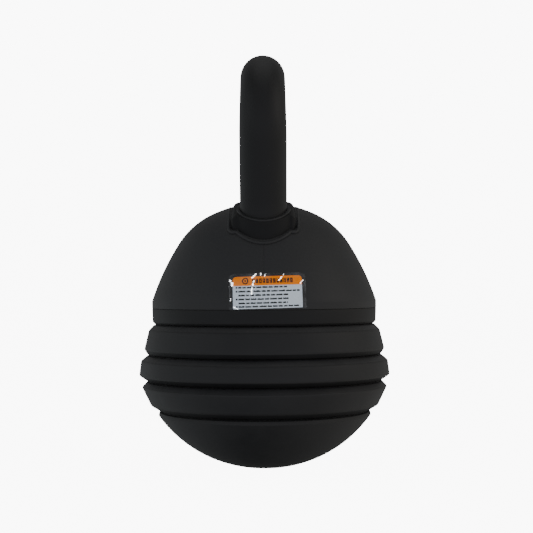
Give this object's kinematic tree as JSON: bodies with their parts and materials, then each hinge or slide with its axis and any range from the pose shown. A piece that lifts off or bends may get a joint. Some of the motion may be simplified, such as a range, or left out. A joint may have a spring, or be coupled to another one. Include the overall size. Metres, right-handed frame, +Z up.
{
  "type": "adjustable kettlebell",
  "caption": "Egg-shaped adjustable kettlebell: a loop handle over a domed cover and stacked grooved iron weights that a dial locks on.",
  "frame": {"origin": "centre of the flat foot that the kettlebell stands on", "axes": "+Z up along the stack; the handle's loop lies in the Y-Z plane, so -Y is the side with the label, seen along one leg of the handle"},
  "size_m": [0.1876, 0.1876, 0.305],
  "materials": {
    "weight_iron": "matte black powder coat over cast iron",
    "dome_shell": "fine-grained matte black moulding",
    "cover_plastic": "fine-grained matte black moulding",
    "bridge_plastic": "fine-grained matte black moulding",
    "grip_rubber": "smooth dull black moulded grip",
    "pad_rubber": "plain black",
    "label_film": "printed film, orange header over a pale field",
    "dial_plastic": "fine-grained matte black moulding, pale numbers",
    "bush_plastic": "natural acetal",
    "bearing_brass": "turned",
    "core_steel": "zinc plated",
    "chassis_steel": "plain steel, oiled",
    "shaft_steel": "turned and zinc plated",
    "catch_steel": "zinc plated",
    "screw_steel": "zinc plated",
    "spring_steel": "spring wire"
  },
  "bodies": {
    "bottom_weight_unit": {"weight_4": "weight_iron", "catch_ring_4": "catch_steel", "catch_screws_4": "screw_steel", "guide_dowels_4": "catch_steel"},
    "ring_weight_3_unit": {"weight_3": "weight_iron", "catch_ring_3": "catch_steel", "catch_screws_3": "screw_steel", "guide_dowels_3": "catch_steel", "rattle_pads_3": "pad_rubber"},
    "ring_weight_2_unit": {"weight_2": "weight_iron", "catch_ring_2": "catch_steel", "catch_screws_2": "screw_steel", "guide_dowels_2": "catch_steel", "rattle_pads_2": "pad_rubber"},
    "ring_weight_1_unit": {"weight_1": "weight_iron", "catch_ring_1": "catch_steel", "catch_screws_1": "screw_steel", "guide_dowels_1": "catch_steel", "rattle_pads_1": "pad_rubber"},
    "handle_unit": {"handle_core": "core_steel", "handle_grip": "grip_rubber", "handle_washers": "core_steel", "handle_nuts": "core_steel", "handle_bridge": "bridge_plastic", "dome_shell_left": "dome_shell", "dome_shell_right": "dome_shell", "dome_screws": "screw_steel", "base_cover": "cover_plastic", "base_cover_screws": "screw_steel", "base_cover_pads": "pad_rubber", "shaft_bush": "bush_plastic", "dial_bush": "bush_plastic", "thrust_washer": "bearing_brass", "chassis_plate": "chassis_steel", "lock_plate": "chassis_steel", "lock_plate_screws": "screw_steel", "label": "label_film"},
    "selector_unit": {"selector_shaft": "shaft_steel", "dial_knob": "dial_plastic", "dial_screw": "screw_steel", "cam_1": "shaft_steel", "cam_2": "shaft_steel", "cam_3": "shaft_steel", "cam_4": "shaft_steel", "cam_spacers": "shaft_steel", "shaft_end_nut": "shaft_steel", "return_spring": "spring_steel"},
    "release_unit": {"release_rod": "shaft_steel", "lock_ring": "shaft_steel", "lock_pin": "shaft_steel"}
  },
  "joints": [
    {"name": "weight_3_lift", "type": "slide", "parent": "bottom_weight_unit", "child": "ring_weight_3_unit", "axis": [0, 0, 1], "range_m": [0, 0.05]},
    {"name": "weight_2_lift", "type": "slide", "parent": "ring_weight_3_unit", "child": "ring_weight_2_unit", "axis": [0, 0, 1], "range_m": [0, 0.07]},
    {"name": "weight_1_lift", "type": "slide", "parent": "ring_weight_2_unit", "child": "ring_weight_1_unit", "axis": [0, 0, 1], "range_m": [0, 0.09]},
    {"name": "handle_lift", "type": "slide", "parent": "ring_weight_1_unit", "child": "handle_unit", "axis": [0, 0, 1], "range_m": [0, 0.115]},
    {"name": "dial_turn", "type": "hinge", "parent": "handle_unit", "child": "selector_unit", "pos_m": [0, 0, 0.19], "axis": [0, 0, 1], "range_deg": [0, 90]},
    {"name": "release_slide", "type": "slide", "parent": "selector_unit", "child": "release_unit", "axis": [0, 0, 1], "range_m": [-0.004, 0], "stiffness_N_per_m": 1300, "springref_m": -0.006, "deforming": ["return_spring"]}
  ]
}
